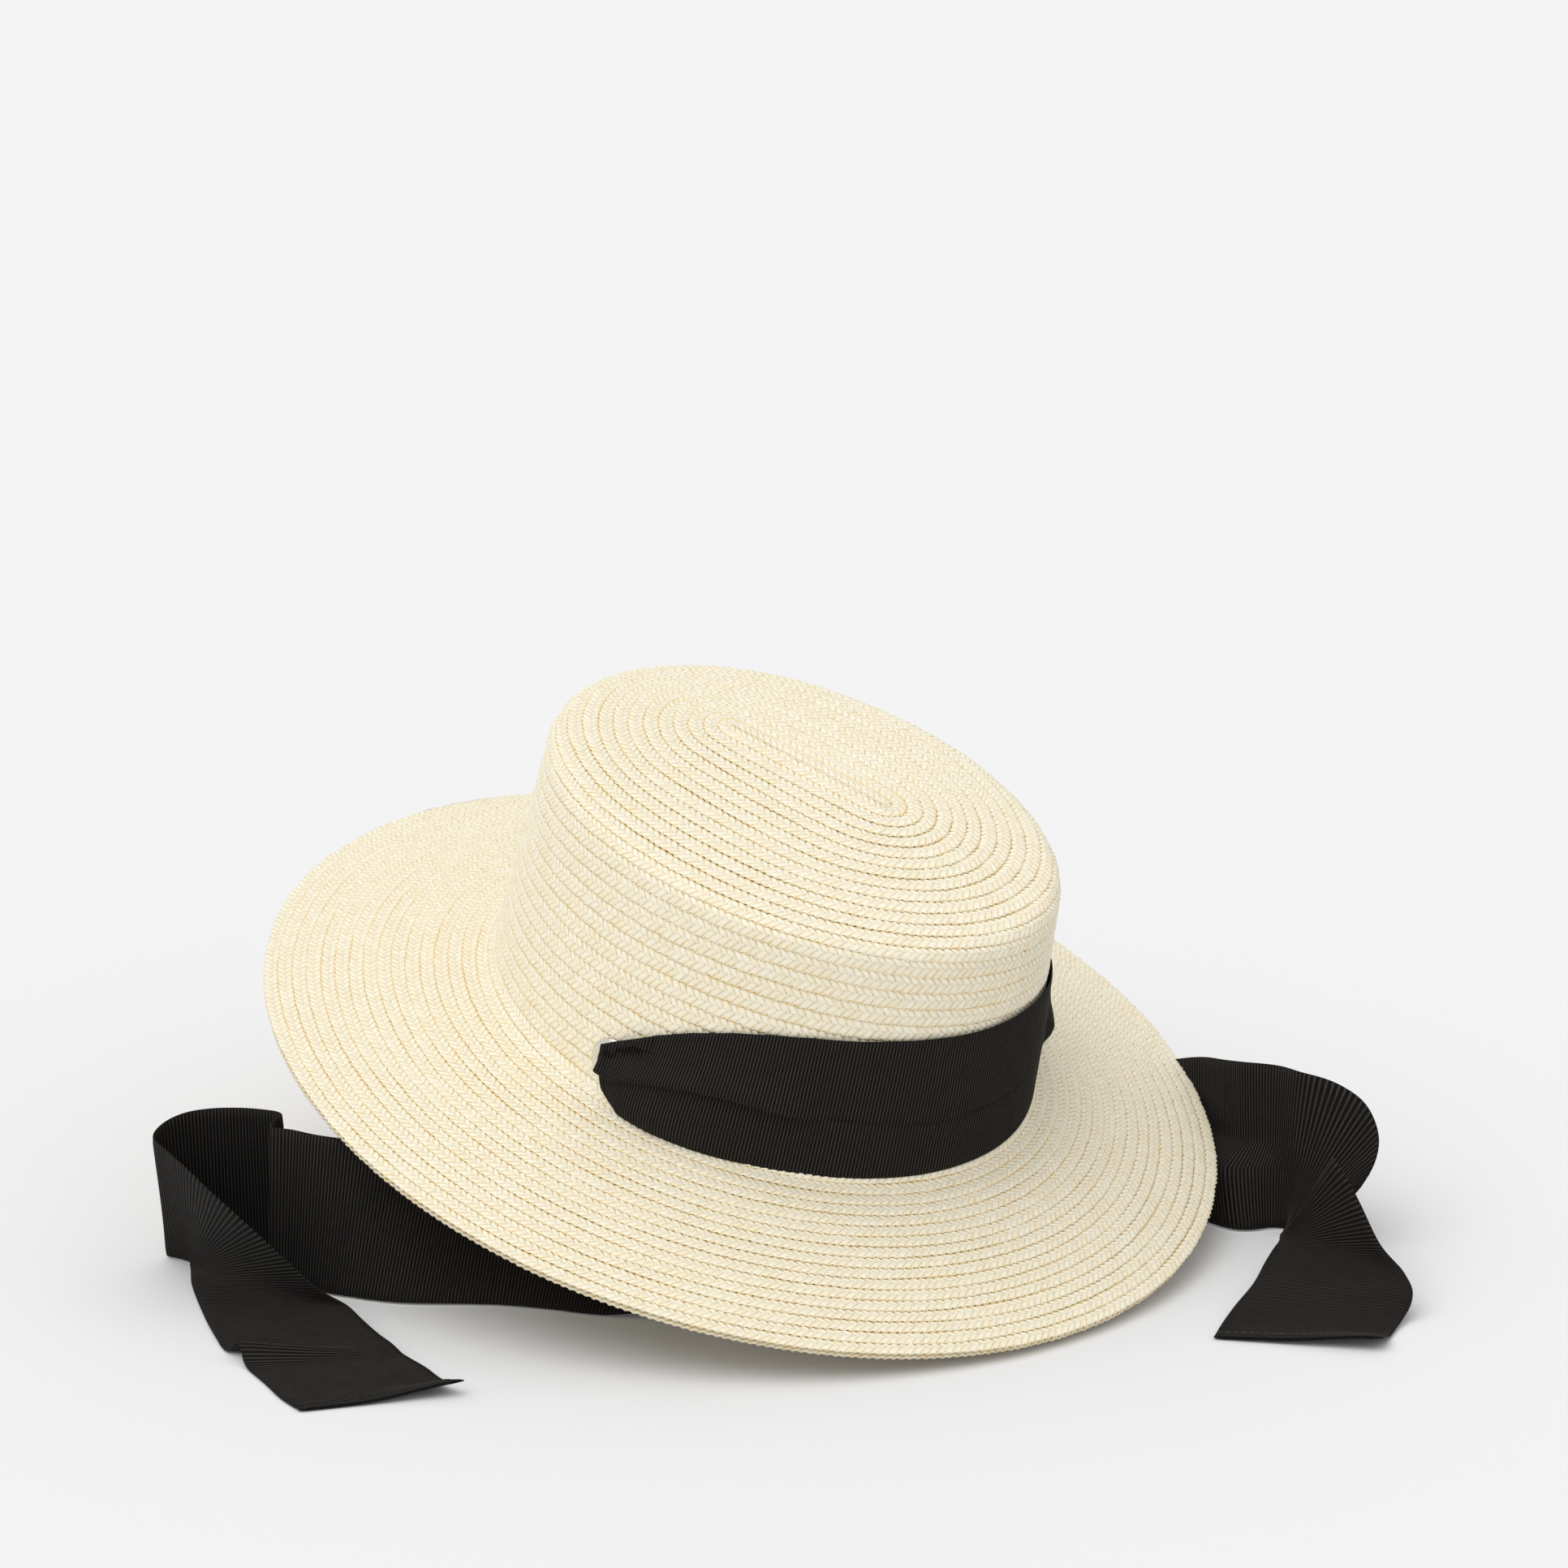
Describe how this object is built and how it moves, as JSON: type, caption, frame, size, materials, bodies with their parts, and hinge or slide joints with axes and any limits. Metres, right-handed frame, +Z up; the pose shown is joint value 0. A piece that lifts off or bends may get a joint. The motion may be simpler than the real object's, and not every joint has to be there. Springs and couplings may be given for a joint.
{
  "type": "straw sun hat",
  "caption": "Boater-shaped sun hat of sewn straw braid with a flat oval tip, wide brim, side eyelets and a wide tie ribbon, lying nose down.",
  "frame": {"origin": "middle of the whole footprint on the floor that the hat and its ribbon ends lie on", "axes": "+X to the front of the hat, +Y to its left, +Z up; the hat leans 17 degrees nose down as it lies"},
  "size_m": [0.409, 0.3892, 0.1822],
  "materials": {
    "straw": "plaited natural straw, sewn in rows",
    "ribbon": "black ribbed grosgrain",
    "sweatband": "woven cotton tape",
    "thread": "cotton sewing thread",
    "black_thread": "black sewing thread",
    "eyelet": "nickel-plated brass"
  },
  "bodies": {
    "root": {"crown_tip": "straw", "crown_wall": "straw", "brim": "straw", "brim_edge_braid": "straw", "sweatband": "sweatband", "sweatband_stitches": "thread", "eyelet_left": "eyelet", "eyelet_right": "eyelet", "eyelet_washer_left": "eyelet", "eyelet_washer_right": "eyelet", "ribbon_band": "ribbon", "tie_left": "ribbon", "tie_right": "ribbon", "hem_stitches_left": "black_thread", "hem_stitches_right": "black_thread"}
  },
  "joints": []
}
